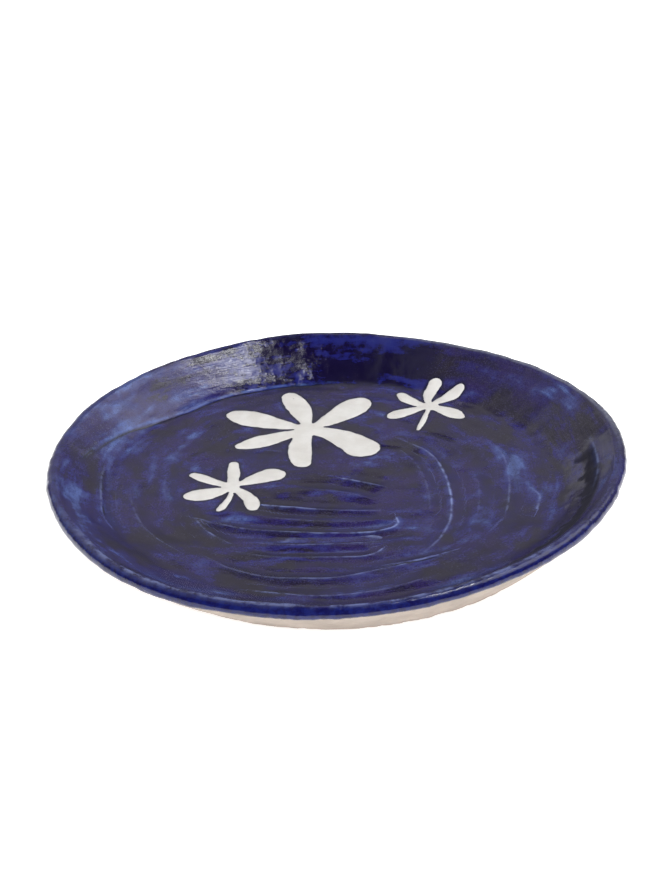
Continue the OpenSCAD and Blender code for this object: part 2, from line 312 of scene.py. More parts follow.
def relief(r, a, z, reg):
    """Height of the hand's marks above the plain surface in mm, and the fields that colour the glaze there."""
    shape = r.shape
    x, y = (r * np.cos(a)).ravel(), (r * np.sin(a)).ravel()
    xy = np.stack([x, y], 1)
    rr, aa, zz, rg = r.ravel(), (a + 0 * r).ravel(), z.ravel(), reg.ravel()
    onfloor = 1 - smooth(rr, 112, 124)
    lip = smooth(rg, 2.5, 3.0)
    u, v = np.cos(aa), np.sin(aa)
    h = np.zeros(len(xy))
    # slow unevenness of a hand-smoothed slab
    h += 0.40 * N1(x / 46, y / 38, 0.3) * onfloor
    h += 0.28 * N2(x / 24, y / 13, 1.3) * onfloor
    h += 0.11 * N3(x / 9, y / 5.5, 2.3) * onfloor
    wall = smooth(rr, 108, 122)
    calm = 1 - 0.85 * np.exp(-(((x + 62) / 20) ** 2 + ((y - 128) / 14) ** 2))
    h += wall * (1 - lip) * calm * (0.60 * N1(u * 5.1, v * 5.1, rr / 22) + 0.32 * N3(u * 13, v * 13, rr / 9) + 0.10 * N2(u * 40, v * 40, rr / 4))
    h += lip * (0.30 * N2(u * 9, v * 9, zz / 30) + 0.18 * N4(u * 26, v * 26, zz / 14) + 0.06 * N3(u * 70, v * 70, zz / 5))
    # faint turning rings outside the middle
    ringy = smooth(rr, 66, 80) * (1 - smooth(rr, 112, 126))
    h += ringy * 0.06 * np.sin(rr / 1.9 + 1.6 * N3(u * 2.1, v * 2.1, rr / 30))
    # the front of the floor climbs a little before the wall begins
    h += 2.0 * smooth(rr, 58, 110) * (1 - smooth(rr, 114, 142)) * smooth(-v, 0.30, 0.75)
    near_d = np.full(len(xy), 9.0)
    glow = np.zeros(len(xy))
    pool = np.zeros(len(xy))
    for k, (pts, height, width, valley, glows) in enumerate(RIDGES):
        d, place = nearest(xy, pts)
        m = np.abs(d) < 13.5
        if not m.any():
            continue
        dm, pm = d[m], place[m]
        ends = smooth(pm, 0, 0.12) * (1 - smooth(pm, 0.88, 1.0))
        wob = 1 + 0.35 * N4(xy[m, 0] / 7, xy[m, 1] / 7, 3.1 * k)
        # the far side of a ridge falls away quickly, the near side is the smooth edge of the next groove
        w = width * (1 + 0.9 * (dm < 0))
        bump = np.exp(-np.abs(dm) / w) * 0.55 + 0.45 * np.exp(-(dm / (1.3 * width)) ** 2)
        h[m] += height * wob * ends * bump
        h[m] -= 1.35 * valley * ends * (np.exp(-((dm - 6.0) / 4.2) ** 2) + 0.8 * np.exp(-((dm + 6.5) / 4.2) ** 2))
        g = np.interp(pm, [0, 0.5, 1], glows)
        closer = np.abs(dm) < np.abs(near_d[m])
        near_d[m] = np.where(closer, dm, near_d[m])
        glow[m] = np.where(closer, g, glow[m])
        pool[m] = np.maximum(pool[m], 0.6 * ends * np.exp(-((dm - 3.6) / 2.6) ** 2))
    cut_d = np.full(len(xy), 9.0)
    cut_end = np.zeros(len(xy))
    for k, (pts, depth, width) in enumerate(CUTS):
        d, place = nearest(xy, pts)
        m = np.abs(d) < 6
        ends = smooth(place[m], 0, 0.25) * (1 - smooth(place[m], 0.75, 1.0))
        h[m] -= depth * ends * np.exp(-(d[m] / width) ** 2)
        closer = m.copy()
        closer[m] = np.abs(d[m]) < np.abs(cut_d[m])
        cut_end = np.where(closer, smooth(place, 0, 0.2) * (1 - smooth(place, 0.8, 1.0)), cut_end)
        cut_d = np.where(closer, d, cut_d)
    # a crisp crease between floor and wall at the back left, soft elsewhere
    deg = np.degrees(aa) % 360
    crease_r = np.interp(deg, [0, 86, 118, 132, 142, 152, 164, 176, 200, 360], [117, 117, 117.5, 116, 119, 124.5, 129.5, 134, 130, 117])
    crease_r = crease_r + 0.7 * N1(u * 9, v * 9, 5.5)
    crisp = smooth(deg, 86, 98) * (1 - smooth(deg, 158, 178))
    dc = rr - crease_r
    h -= 0.48 * crisp * np.exp(-np.abs(dc) / 2.6)
    h += 0.26 * crisp * np.exp(-((dc - 3.4) / 1.7) ** 2)
    crease = np.clip(dc, -9, 9) * (crisp > 0) + 9.0 * (crisp <= 0)
    # the lip's inner edge: a low ridge where the glaze breaks pale; the pale line painted along it, strongest over the
    # front, is partly a painted highlight
    de = rr - (out_r(aa) - 6.2 + 0.5 * N1(u * 3, v * 3, 8.5))
    h += 0.20 * np.exp(-(de / 0.9) ** 2) * (rg > 1.5)
    h -= 0.30 * np.exp(-((rr - 131) / 2.2) ** 2) * smooth(np.degrees(np.arctan2(v, u)), -62, -40) * (1 - smooth(np.degrees(np.arctan2(v, u)), 4, 12))
    brush_load_and_painted_light = np.zeros(len(xy))
    for (cx, cy), hl, hw, turn, strength in DABS:
        t = math.radians(turn)
        px, py = x - cx, y - cy
        p = (px * math.cos(t) + py * math.sin(t)) / hl
        q = (-px * math.sin(t) + py * math.cos(t)) / hw
        brush_load_and_painted_light += strength * np.exp(-(p * p + q * q) ** 1.3)
    # pale, thin coat on the left and the back-left wall; the left wall is also painted paler as painted light, being
    # the side that faces the light from the right
    turn = np.degrees(np.arctan2(v, u))
    back_left = wall * (1 - lip) * smooth(turn, 110, 124) * (1 - smooth(turn, 158, 176))
    brush_load_and_painted_light += wall * 0.30 * smooth(-u, 0.2, 0.9) + back_left * (0.20 + 0.25 * N2(x / 15, y / 15, 4.0))
    # deep blue on the back wall; and a painted reflection: the top of the lip at the back right is painted paler,
    # standing in for the bright room it catches at a grazing angle
    back = smooth(rr, 112, 118) * (1 - 0.6 * lip) * smooth(turn, 60, 68) * (1 - smooth(turn, 112, 120))
    shine = smooth(de, 0.6, 2.2) * (rg > 1.5) * smooth(turn, -4, 14) * (1 - smooth(turn, 60, 82))
    # a painted dark reflection: a dark band with a jagged edge painted along the foot of the wall at the front right
    jag = 130.5 + 3.2 * N4(x / 5, y / 5, 7.0) + 1.6 * N2(x / 2.4, y / 2.4, 8.0)
    shade = smooth(rr, jag - 0.8, jag + 0.8) * (1 - smooth(rr, 138.5, 140.5)) * smooth(turn, -62, -40) * (1 - smooth(turn, 4, 8))
    front = smooth(de, 2.6, 4.0) * (rg > 1.5) * smooth(-v, 0.15, 0.55)
    fields = {"ridge_d": np.clip(near_d, -9, 9), "glow": glow, "pool": pool, "cut": np.clip(cut_d, -9, 9), "cut_end": cut_end,
              "crease": crease, "crisp": crisp, "edge_d": np.clip(de, -9, 9) * (rg > 1.5) - 9.0 * (rg <= 1.5),
              "brush_load_and_painted_light": brush_load_and_painted_light, "lip": lip, "back": back, "shine": shine, "front": front, "shade": shade}
    return h.reshape(shape), {k: f.reshape(shape) for k, f in fields.items()}


def grid_mesh(name, rings, centre_top, centre_end, attrs=None, closed_rows=False):
    """A closed skin from rings[i, j] = xyz in mm, i around, j along the section. The section runs from the axis round to the axis."""
    n, m = rings.shape[:2]
    if closed_rows:
        verts = rings.reshape(-1, 3)
    else:
        verts = np.vstack([rings.reshape(-1, 3), [centre_top], [centre_end]])
    i = np.arange(n)[:, None]
    i2 = (i + 1) % n
    j = np.arange(m if closed_rows else m - 1)[None, :]
    j2 = (j + 1) % m
    quads = np.stack([i * m + j, i * m + j2, i2 * m + j2, i2 * m + j], -1).reshape(-1, 4)
    faces = quads.tolist()
    if not closed_rows:
        t, e = n * m, n * m + 1
        k, k2 = np.arange(n), (np.arange(n) + 1) % n
        faces += np.stack([np.full(n, t), k * m, k2 * m], 1).tolist()
        faces += np.stack([np.full(n, e), k2 * m + m - 1, k * m + m - 1], 1).tolist()
    me = bpy.data.meshes.new(name)
    me.from_pydata((verts * MM).tolist(), [], faces)
    me.polygons.foreach_set("use_smooth", np.ones(len(me.polygons), bool))
    for key, val in (attrs or {}).items():
        at = me.attributes.new(key, "FLOAT", "POINT")
        v = np.zeros(len(verts), np.float32)
        v[: n * m] = val.reshape(-1)
        if not closed_rows:
            v[n * m] = val[:, 0].mean()
        at.data.foreach_set("value", v)
    me.update()
    o = bpy.data.objects.new(name, me)
    bpy.context.scene.collection.objects.link(o)
    return o


def to_xyz(r, a, z):
    return np.stack([r * np.cos(a) - MID[0], r * np.sin(a) - MID[1], z + 0 * r], -1)


# ------------------------------------------------------------------ the blue coat
NA = 540
ang = 2 * np.pi * np.arange(NA) / NA
run = np.radians(run_at(ang) + 5 * N2(np.cos(ang) * 9, np.sin(ang) * 9, 4.4) + 6 * N3(np.cos(ang) * 34, np.sin(ang) * 34, 1.4)
                 + 5 * N4(np.cos(ang) * 85, np.sin(ang) * 85, 2.4))[:, None]
r, z, nr, nz, reg = section(ang, 0.0, 98, 8, 18, 20, run)
h, fields = relief(r, ang[:, None], z, reg)
# the coat thins to a rounded edge at its end
m = r.shape[1]
edge_fade = np.zeros(m)
edge_fade[-4:] = (0.04, 0.14, 0.30, 0.46)
top_r, top_z = r + (h - edge_fade) * nr, z + (h - edge_fade) * nz
flat_x, flat_y = (r * np.cos(ang[:, None])).ravel(), (r * np.sin(ang[:, None])).ravel()
xy = np.stack([flat_x, flat_y], 1)
halo = np.full(len(xy), 99.0)
for name in FLOWERS:
    halo = np.minimum(halo, flower_sd(xy, name))
hem = np.full(r.shape, 9.0)
hem[:, -20:] = (LIP_T / 2) * (np.radians(120) + run) * (1 - np.linspace(0, 1, 21)[None, 1:])
fields["hem"] = hem
rough_spot = np.exp(-(((flat_x + 124) / 13) ** 2 + ((flat_y - 48) / 20) ** 2)) + 0.5 * np.exp(-(((flat_x + 88) / 14) ** 2 + ((flat_y - 104) / 12) ** 2))
fields["rough_spot"] = rough_spot.reshape(r.shape)
fields["petal"] = np.clip(halo, -2, 9).reshape(r.shape)
low = np.unique(np.r_[0:98:14, 97:106, 109, 114, 118, 123, 125:m:2, m - 1])
on_lip = smooth(reg[:, low], 2.5, 3.0)
sink = h[:, low] * on_lip - COAT - 0.45 * (1 - on_lip)
bot_r, bot_z = r[:, low] + sink * nr[:, low], z[:, low] + sink * nz[:, low]
ring_r = np.hstack([top_r, bot_r[:, ::-1]])
ring_z = np.hstack([top_z, bot_z[:, ::-1]])
rows = to_xyz(ring_r, ang[:, None], ring_z)
centre_h = float(h[:, 0].mean())
coat = grid_mesh("glaze_coat", rows, [-MID[0], -MID[1], FLOOR_Z - DISH + centre_h],
                 [-MID[0], -MID[1], FLOOR_Z - DISH - COAT + centre_h],
                 {k: np.hstack([f, f[:, low][:, ::-1]]) for k, f in fields.items()})
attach(coat, "root")
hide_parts("cobalt_glaze")


# ------------------------------------------------------------------ the coat's top at any place on the floor or wall
def surface(x, y):
    """For points x, y in mm from the middle of the floor: the coat's radius, angle and height, and its normal."""
    a = np.arctan2(y, x)
    rad = np.hypot(x, y)
    cr, cz = out_r(a) - LIP_T / 2, lip_z(a)
    er = FLOOR_R + 2 * np.cos(a)
    dx, dz = cr - er, cz - FLOOR_Z
    s = np.arctan2(dz, dx) + np.arcsin(LIP_T / 2 / np.hypot(dx, dz))
    ri = er - COVE_R * np.tan(s / 2)
    t = np.clip(rad / ri, 0, 1)
    b = np.arcsin(np.clip((rad - ri) / COVE_R, 0, np.sin(s)))
    on_floor, on_cove = rad < ri, rad < ri + COVE_R * np.sin(s)
    z0 = np.where(on_floor, FLOOR_Z - DISH * (1 - t * t), FLOOR_Z + COVE_R * (1 - np.cos(b)))
    z0 = z0 + np.where(on_cove, 0, (rad - ri - COVE_R * np.sin(s)) * np.tan(s))
    nr0, nz0 = np.where(on_floor, 0, -np.sin(b)), np.where(on_floor, 1, np.cos(b))
    reg0 = np.where(on_floor, 0, np.where(on_cove, 1, 2)).astype(float)
    hh, _ = relief(rad[:, None], a[:, None], z0[:, None], reg0[:, None])
    return rad, a, z0, nr0, nz0, hh[:, 0]


# ------------------------------------------------------------------ white flowers: thick enamel with rounded edges
def flower_mesh(name, step=0.42, lift=0.26):
    (cx, cy), hub, petals = FLOWERS[name]
    R = max(p[2] for p in petals) + 3
    gx = np.arange(cx - R, cx + R + step, step)
    gy = np.arange(cy - R, cy + R + step, step)
    X, Y = np.meshgrid(gx, gy, indexing="ij")
    P = np.stack([X.ravel(), Y.ravel()], 1)

    def field(p):
        # the brush leaves a slightly ragged outline
        return flower_sd(p, name) + 0.22 * N3(p[:, 0] / 1.7, p[:, 1] / 1.7, 0.5) + 0.12 * N4(p[:, 0] / 0.7, p[:, 1] / 0.7, 0.5) + 0.38 * N1(p[:, 0] / 4.5, p[:, 1] / 4.5, 2.5)

    D = field(P).reshape(X.shape)
    idx = -np.ones(X.shape, int)
    # keep the cells wholly inside, then pull the border onto the outline
    inside = D < 0.5 * step
    cell = inside[:-1, :-1] & inside[1:, :-1] & inside[:-1, 1:] & inside[1:, 1:]
    used = np.zeros(X.shape, bool)
    used[:-1, :-1] |= cell; used[1:, :-1] |= cell; used[:-1, 1:] |= cell; used[1:, 1:] |= cell
    idx[used] = np.arange(used.sum())
    px, py, d = X[used].copy(), Y[used].copy(), D[used].copy()
    ii, jj = np.where(cell)
    quads = np.stack([idx[ii, jj], idx[ii + 1, jj], idx[ii + 1, jj + 1], idx[ii, jj + 1]], 1)
    edges = {}
    for q in quads:
        for k in range(4):
            e = (int(q[k]), int(q[(k + 1) % 4]))
            if (e[1], e[0]) in edges:
                del edges[(e[1], e[0])]
            else:
                edges[e] = True
    rim = np.unique(np.array(list(edges)).ravel())
    for _ in range(4):
        p = np.stack([px[rim], py[rim]], 1)
        e = 0.05
        f0 = field(p)
        fx = (field(p + [e, 0]) - field(p - [e, 0])) / (2 * e)
        fy = (field(p + [0, e]) - field(p - [0, e])) / (2 * e)
        g = np.maximum(fx * fx + fy * fy, 0.25)
        px[rim] -= np.clip(f0 * fx / g, -0.5, 0.5)
        py[rim] -= np.clip(f0 * fy / g, -0.5, 0.5)
    # relax the outline a little so it has no steps
    nb = {}
    for a_, b_ in edges:
        nb.setdefault(a_, []).append(b_)
        nb.setdefault(b_, []).append(a_)
    for _ in range(2):
        nx, ny = px.copy(), py.copy()
        for v, w in nb.items():
            nx[v] = 0.5 * px[v] + 0.5 * np.mean(px[w])
            ny[v] = 0.5 * py[v] + 0.5 * np.mean(py[w])
        px, py = nx, ny
    d = field(np.stack([px, py], 1))
    d[rim] = 0
    rad, az, z0, nr0, nz0, hh = surface(px, py)
    rise = 0.65 * lift * (1 - np.exp(-np.clip(-d, 0, 9) / 0.45)) + 0.10 * (1 - np.exp(-np.clip(-d, 0, 9) / 2.5))
    rise += 0.03 * N2(px / 2.2, py / 2.2, 6.0) * (d < -0.6)
    n = len(px)

    def skin(off):
        rr2, zz2 = rad + off * nr0, z0 + off * nz0
        return np.stack([rr2 * np.cos(az) - MID[0], rr2 * np.sin(az) - MID[1], zz2], 1)

    verts = np.vstack([skin(hh + 0.02 + rise), skin(hh - 0.3)])
    faces = quads.tolist() + (quads[:, ::-1] + n).tolist()
    faces += [[a_, a_ + n, b_ + n, b_] for a_, b_ in edges]
    me = bpy.data.meshes.new(name + "_enamel")
    me.from_pydata((verts * MM).tolist(), [], faces)
    me.polygons.foreach_set("use_smooth", np.ones(len(me.polygons), bool))
    me.update()
    o = bpy.data.objects.new(name + "_enamel", me)
    bpy.context.scene.collection.objects.link(o)
    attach(o, "root")
    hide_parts(name)
    return o


flowers = [flower_mesh(n) for n in FLOWERS]


# ------------------------------------------------------------------ the clay dish
NB = 360
angb = 2 * np.pi * np.arange(NB) / NB
runb = np.radians(run_at(angb))[:, None]
r, z, nr, nz, reg = section(angb, COAT, 30, 6, 8, 12, runb)
h, _ = relief(r, angb[:, None], z, reg)
h = np.where(reg > 2.5, np.minimum(h, 0.3) - 0.06, -0.50)
in_r, in_z = r + h * nr, z + h * nz
a2 = angb[:, None]
cr, cz = out_r(a2) - LIP_T / 2, lip_z(a2)
q = LIP_T / 2 - COAT
b = -(runb + (np.radians(55) - runb) * np.linspace(0, 1, 7)[None, 1:])
o_r, o_z = cr + q * np.cos(b), cz + q * np.sin(b)
hr, hz = HEEL_R + waves(HEEL, a2), UNDER_Z + 1 + 0 * a2
t = np.linspace(0, 1, 15)[None, 1:]
w_r = o_r[:, -1:] + (hr - o_r[:, -1:]) * t + 0.3 * np.sin(np.pi * t)
w_z = o_z[:, -1:] + (hz - o_z[:, -1:]) * t - 0.3 * np.sin(np.pi * t)
k = np.radians(np.array([20.0, 45.0, 70.0, 90.0]))[None, :]
k_r, k_z = hr - 1.2 + 1.2 * np.cos(k) + 0 * a2, UNDER_Z + 1.0 - 1.0 * np.sin(k) + 0 * a2
t = np.linspace(0.985, 0.02, 44)[None, :]
u_r, u_z = (hr - 1.2) * t, UNDER_Z + 0 * hr * t
out_rr, out_zz = np.hstack([o_r, w_r, k_r, u_r]), np.hstack([o_z, w_z, k_z, u_z])
# knife and finger marks on the bare clay
ca, sa = np.cos(a2), np.sin(a2)
outer = np.ones(out_rr.shape)
outer[:, -44:] = 0
mark = 0.34 * N1(ca * 9, sa * 9, out_zz / 11) + 0.2 * N2(ca * 24, sa * 24, out_zz / 5) + 0.10 * N3(ca * 60, sa * 60, out_zz / 2.0)
mark = mark * outer
low_edge = np.exp(-((out_zz - UNDER_Z) / 2.2) ** 2) * outer
chip = low_edge * (0.45 * np.minimum(0, N4(ca * 34, sa * 34, 1.0)) + 0.3 * np.minimum(0, N2(ca * 75, sa * 75, 3.0) + 0.1))
under = (1 - outer) * (0.22 * N1(out_rr * ca / 21, out_rr * sa / 21, 9.0) + 0.10 * np.sin(out_rr / 1.15 + 2 * N2(ca * 2, sa * 2, 1)))
foot_zone = np.exp(-((out_rr - 107) / 7.0) ** 4) * (1 - outer)
under = np.clip(under, -0.2, 0.35) * (1 - foot_zone)
out_rr = out_rr + (mark + chip) * 0.75 * outer
out_zz = out_zz - (mark + chip) * 0.45 * outer * smooth(out_zz, UNDER_Z, UNDER_Z + 3) + np.maximum(chip * -0.8, 0) + under
rows = to_xyz(np.hstack([in_r, out_rr]), a2, np.hstack([in_z, out_zz]))
clay = grid_mesh("clay_dish", rows, [-MID[0], -MID[1], FLOOR_Z - DISH - COAT], [-MID[0], -MID[1], UNDER_Z])
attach(clay, "root")
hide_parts("clay_body")

# ------------------------------------------------------------------ the foot ring
FO, FW = 111.0, 8.0
NC = 300
angc = 2 * np.pi * np.arange(NC) / NC
a3 = angc[:, None]
prof = []
for cx_, cz_, g0, g1 in ((FO - 1.0, 1.0, -90, 0), (FO - FW + 1.0, 1.0, 180, 270)):
    for g in np.radians(np.linspace(g0, g1, 7)):
        prof.append((cx_ + 1.0 * math.cos(g), cz_ + 1.0 * math.sin(g)))
right, left = prof[:7], prof[7:]
col = right + [(FO + 0.15, 2.0), (FO + 0.5, 3.1), (FO + 0.9, 3.9), (FO + 1.0, 4.3), (FO - 1, 4.35), (FO - FW + 1, 4.35), (FO - FW - 1.0, 4.3), (FO - FW - 0.9, 3.9), (FO - FW - 0.5, 3.1), (FO - FW - 0.15, 2.0)] + left
col = np.array(col)
fr = col[None, :, 0] + 0 * a3
fz = col[None, :, 1] + 0 * a3
lift = smooth(fz, 0.15, 1.2)
c3, s3 = np.cos(a3), np.sin(a3)
fr = fr + lift * (0.22 * N1(c3 * 8, s3 * 8, fz / 3) + 0.1 * N2(c3 * 30, s3 * 30, fz / 2)) * np.sign(fr - (FO - FW / 2))
fz = fz + 0.12 * np.maximum(0, N3(c3 * 12, s3 * 12, 2.0)) * (1 - lift)
rows = np.stack([fr * c3, fr * s3, fz], -1)
foot = grid_mesh("foot_coil", rows[:, ::-1], None, None, closed_rows=True)
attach(foot, "root")
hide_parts("foot_ring")


# ------------------------------------------------------------------ materials
class Tree:
    def __init__(self, name, world=None):
        if world is not None:
            self.t = world.node_tree
            self.t.nodes.clear()
            return
        self.m = bpy.data.materials.new(name)
        self.m.use_nodes = True
        self.t = self.m.node_tree
        self.t.nodes.clear()
        self.out = self.t.nodes.new("ShaderNodeOutputMaterial")
        self.b = self.t.nodes.new("ShaderNodeBsdfPrincipled")
        self.t.links.new(self.b.outputs[0], self.out.inputs[0])

    def new(self, kind, **kw):
        n = self.t.nodes.new(kind)
        for k, v in kw.items():
            setattr(n, k, v)
        return n

    def set(self, socket, v):
        if isinstance(v, bpy.types.NodeSocket):
            self.t.links.new(v, socket)
        elif v is not None:
            socket.default_value = v

    def math(self, op, a, b=None, c=None, clamp=False):
        n = self.new("ShaderNodeMath", operation=op, use_clamp=clamp)
        for s, v in zip(n.inputs, (a, b, c)):
            self.set(s, v)
        return n.outputs[0]

    def vmath(self, op, a, b=None, scale=None):
        n = self.new("ShaderNodeVectorMath", operation=op)
        self.set(n.inputs[0], a)
        if b is not None:
            self.set(n.inputs[1], b)
        if scale is not None:
            n.inputs["Scale"].default_value = scale
        return n.outputs["Value"] if op in ("LENGTH", "DOT_PRODUCT") else n.outputs["Vector"]

    def xyz(self, x, y, z):
        n = self.new("ShaderNodeCombineXYZ")
        for s, v in zip(n.inputs, (x, y, z)):
            self.set(s, v)
        return n.outputs[0]

    def split(self, v):
        n = self.new("ShaderNodeSeparateXYZ")
        self.t.links.new(v, n.inputs[0])
        return n.outputs

    def noise(self, v, scale=1.0, detail=2.0, rough=0.5, distortion=0.0, lac=2.0):
        n = self.new("ShaderNodeTexNoise", noise_dimensions="3D")
        self.t.links.new(v, n.inputs["Vector"])
        n.inputs["Scale"].default_value = scale
        n.inputs["Detail"].default_value = detail
        n.inputs["Roughness"].default_value = rough
        n.inputs["Lacunarity"].default_value = lac
        n.inputs["Distortion"].default_value = distortion
        return n.outputs["Fac"]

    def voronoi(self, v, scale=1.0, feature="F1", rnd=1.0):
        n = self.new("ShaderNodeTexVoronoi", feature=feature)
        self.t.links.new(v, n.inputs["Vector"])
        n.inputs["Scale"].default_value = scale
        n.inputs["Randomness"].default_value = rnd
        return n.outputs

    def ramp(self, f, lo, hi, a=0.0, b=1.0, smoother=True):
        n = self.new("ShaderNodeMapRange", interpolation_type="SMOOTHSTEP" if smoother else "LINEAR")
        self.set(n.inputs["Value"], f)
        n.inputs["From Min"].default_value = lo
        n.inputs["From Max"].default_value = hi
        n.inputs["To Min"].default_value = a
        n.inputs["To Max"].default_value = b
        return n.outputs["Result"]

    def mix(self, f, a, b, kind="RGBA", blend="MIX"):
        n = self.new("ShaderNodeMix", data_type=kind)
        if kind == "RGBA":
            n.blend_type = blend
            ins, out = (n.inputs[0], n.inputs[6], n.inputs[7]), n.outputs[2]
        else:
            ins, out = (n.inputs[0], n.inputs[2], n.inputs[3]), n.outputs[0]
        for s, v in zip(ins, (f, a, b)):
            if isinstance(v, tuple) and len(v) == 3:
                v = (*v, 1.0)
            self.set(s, v)
        return out

    def attr(self, name):
        return self.new("ShaderNodeAttribute", attribute_name=name).outputs["Fac"]

    def bump(self, height, strength, distance, normal=None):
        n = self.new("ShaderNodeBump")
        n.inputs["Strength"].default_value = strength
        n.inputs["Distance"].default_value = distance
        self.t.links.new(height, n.inputs["Height"])
        if normal is not None:
            self.t.links.new(normal, n.inputs["Normal"])
        return n.outputs[0]


def glaze_material():
    T = Tree("cobalt_glaze_brushed")
    pos = T.vmath("SCALE", T.new("ShaderNodeTexCoord").outputs["Object"], scale=1000.0)
    wander = T.noise(T.vmath("SCALE", pos, scale=1 / 42.0), detail=1.0)
    wander2 = T.noise(T.vmath("SCALE", pos, scale=1 / 17.0), detail=1.0)
    X, Y, Z = T.split(pos)
    r = T.vmath("LENGTH", T.xyz(X, Y, 0.0))
    rs = T.math("MAXIMUM", r, 1.0)
    c, s = T.math("DIVIDE", X, rs), T.math("DIVIDE", Y, rs)
    rz = T.math("ADD", r, T.math("MULTIPLY", Z, 0.8))
    rw = T.math("ADD", rz, T.math("ADD", T.math("MULTIPLY", wander, 14.0), T.math("MULTIPLY", wander2, 3.0)))
    yw = T.math("ADD", Y, T.math("ADD", T.math("MULTIPLY", wander, 10.0), T.math("MULTIPLY", wander2, 3.0)))

    def polar(a, b, off=0.0):
        return T.xyz(T.math("MULTIPLY", c, a), T.math("MULTIPLY", s, a), T.math("MULTIPLY_ADD", rw, b, off))

    def linear(a, b, off=0.0):
        return T.xyz(T.math("MULTIPLY", X, a), T.math("MULTIPLY", yw, b), off)

    def near(name, width, shift=0.0):
        q = T.math("DIVIDE", T.math("SUBTRACT", T.attr(name), shift), width)
        return T.math("EXPONENT", T.math("MULTIPLY", T.math("MULTIPLY", q, q), -1.0))

    # the middle was brushed from side to side, the rest along the circle
    cx = T.math("MULTIPLY", T.math("ADD", X, 14.0), 1 / 62.0)
    cy = T.math("MULTIPLY", T.math("ADD", Y, 40.0), 1 / 66.0)
    cd = T.vmath("LENGTH", T.xyz(cx, cy, 0.0))
    centre = T.ramp(T.math("ADD", cd, T.math("MULTIPLY", wander2, 0.35)), 0.85, 1.4, 1.0, 0.0)

    def brush(pa, pb, la, lb, off, detail=2.0, rough=0.55):
        return T.mix(centre, T.noise(polar(pa, pb, off), detail=detail, rough=rough),
                     T.noise(linear(la, lb, off), detail=detail, rough=rough), "FLOAT")

    broad = brush(3.0, 1 / 13.0, 1 / 48.0, 1 / 9.0, 0.0, 2.0)
    mid = brush(7.0, 1 / 3.6, 1 / 22.0, 1 / 3.0, 11.0, 3.0)
    hair = brush(15.0, 1 / 0.9, 1 / 9.0, 1 / 0.8, 23.0, 3.0, 0.65)
    patch = T.noise(T.vmath("SCALE", pos, scale=1 / 30.0), detail=4.0, rough=0.6, distortion=0.5)
    violet = T.noise(T.vmath("SCALE", pos, scale=1 / 21.0), detail=3.0, rough=0.6, distortion=0.3)
    blot = T.noise(T.vmath("SCALE", pos, scale=1 / 6.0), detail=4.0, rough=0.55)
    grain = T.noise(T.vmath("SCALE", pos, scale=1 / 0.9), detail=3.0, rough=0.6)

    def part(src, k):
        return T.math("MULTIPLY", T.math("SUBTRACT", src, 0.5), k)

    # how thickly the glaze lies: 0 thick and dark, 1 thin and pale; through the brush-load field it also carries a few
    # painted highlights, a painted dark reflection and painted light on the left wall
    thinness_and_painted_light = T.math("ADD", part(broad, 2.1), part(mid, 0.60))
    thinness_and_painted_light = T.math("ADD", thinness_and_painted_light, T.math("ADD", part(hair, 0.22), part(blot, 0.75)))
    thinness_and_painted_light = T.math("ADD", thinness_and_painted_light, T.math("ADD", part(patch, 1.0), part(grain, 0.10)))
    thinness_and_painted_light = T.math("ADD", thinness_and_painted_light, T.math("MULTIPLY_ADD", T.attr("brush_load_and_painted_light"), 0.42, 0.40))
    rampn = T.new("ShaderNodeValToRGB")
    T.t.links.new(thinness_and_painted_light, rampn.inputs[0])
    cr_ = rampn.color_ramp
    stops = [(0.0, (0.0066, 0.0030, 0.023)), (0.22, (0.0078, 0.0037, 0.040)), (0.42, (0.0098, 0.0052, 0.065)),
             (0.60, (0.0135, 0.0098, 0.099)), (0.75, (0.021, 0.025, 0.142)), (0.90, (0.037, 0.055, 0.205)),
             (1.0, (0.060, 0.095, 0.29))]
    cr_.elements[0].position, cr_.elements[0].color = stops[0][0], (*stops[0][1], 1)
    cr_.elements[1].position, cr_.elements[1].color = stops[-1][0], (*stops[-1][1], 1)
    for p_, col_ in stops[1:-1]:
        e = cr_.elements.new(p_)
        e.color = (*col_, 1)
    colour = rampn.outputs[0]
    # some places lean to violet, some to a brownish grey where the coat is thickest
    colour = T.mix(T.math("MULTIPLY", T.ramp(violet, 0.48, 0.66), 0.6), colour, (0.0170, 0.0062, 0.068))
    grey = T.math("MULTIPLY", T.ramp(patch, 0.54, 0.40), T.ramp(thinness_and_painted_light, 0.56, 0.30))
    colour = T.mix(T.math("MULTIPLY", grey, 0.75), colour, (0.0125, 0.0085, 0.0160))
    # a salt and pepper grain, neutral in tone
    salt = T.noise(T.vmath("SCALE", pos, scale=1 / 0.75), detail=2.0, rough=0.7)
    colour = T.mix(T.ramp(salt, 0.50, 0.72, 0.0, 0.70), colour, (0.042, 0.039, 0.076))
    colour = T.mix(T.ramp(salt, 0.50, 0.30, 0.0, 0.75), colour, (0.0022, 0.0010, 0.018))
    colour = T.mix(T.math("MULTIPLY", T.attr("lip"), 0.45), colour, (0.0070, 0.0055, 0.056))
    # the back wall is a deep ink blue with a few paler touches
    flakes = T.noise(T.vmath("SCALE", pos, scale=1 / 4.0), detail=4.0, rough=0.65)
    ink = T.mix(T.ramp(T.math("ADD", thinness_and_painted_light, part(flakes, 1.3)), 0.30, 0.72), (0.0024, 0.0010, 0.018), (0.0085, 0.0110, 0.112))
    colour = T.mix(T.math("MULTIPLY", T.attr("back"), 0.85), colour, ink)
    mottle = T.ramp(T.noise(T.vmath("SCALE", pos, scale=1 / 3.0), detail=4.0, rough=0.65), 0.38, 0.62)
    deep = T.mix(mottle, (0.0024, 0.0022, 0.046), (0.0050, 0.0090, 0.090))
    colour = T.mix(T.math("MULTIPLY", T.attr("front"), 0.92), colour, deep)
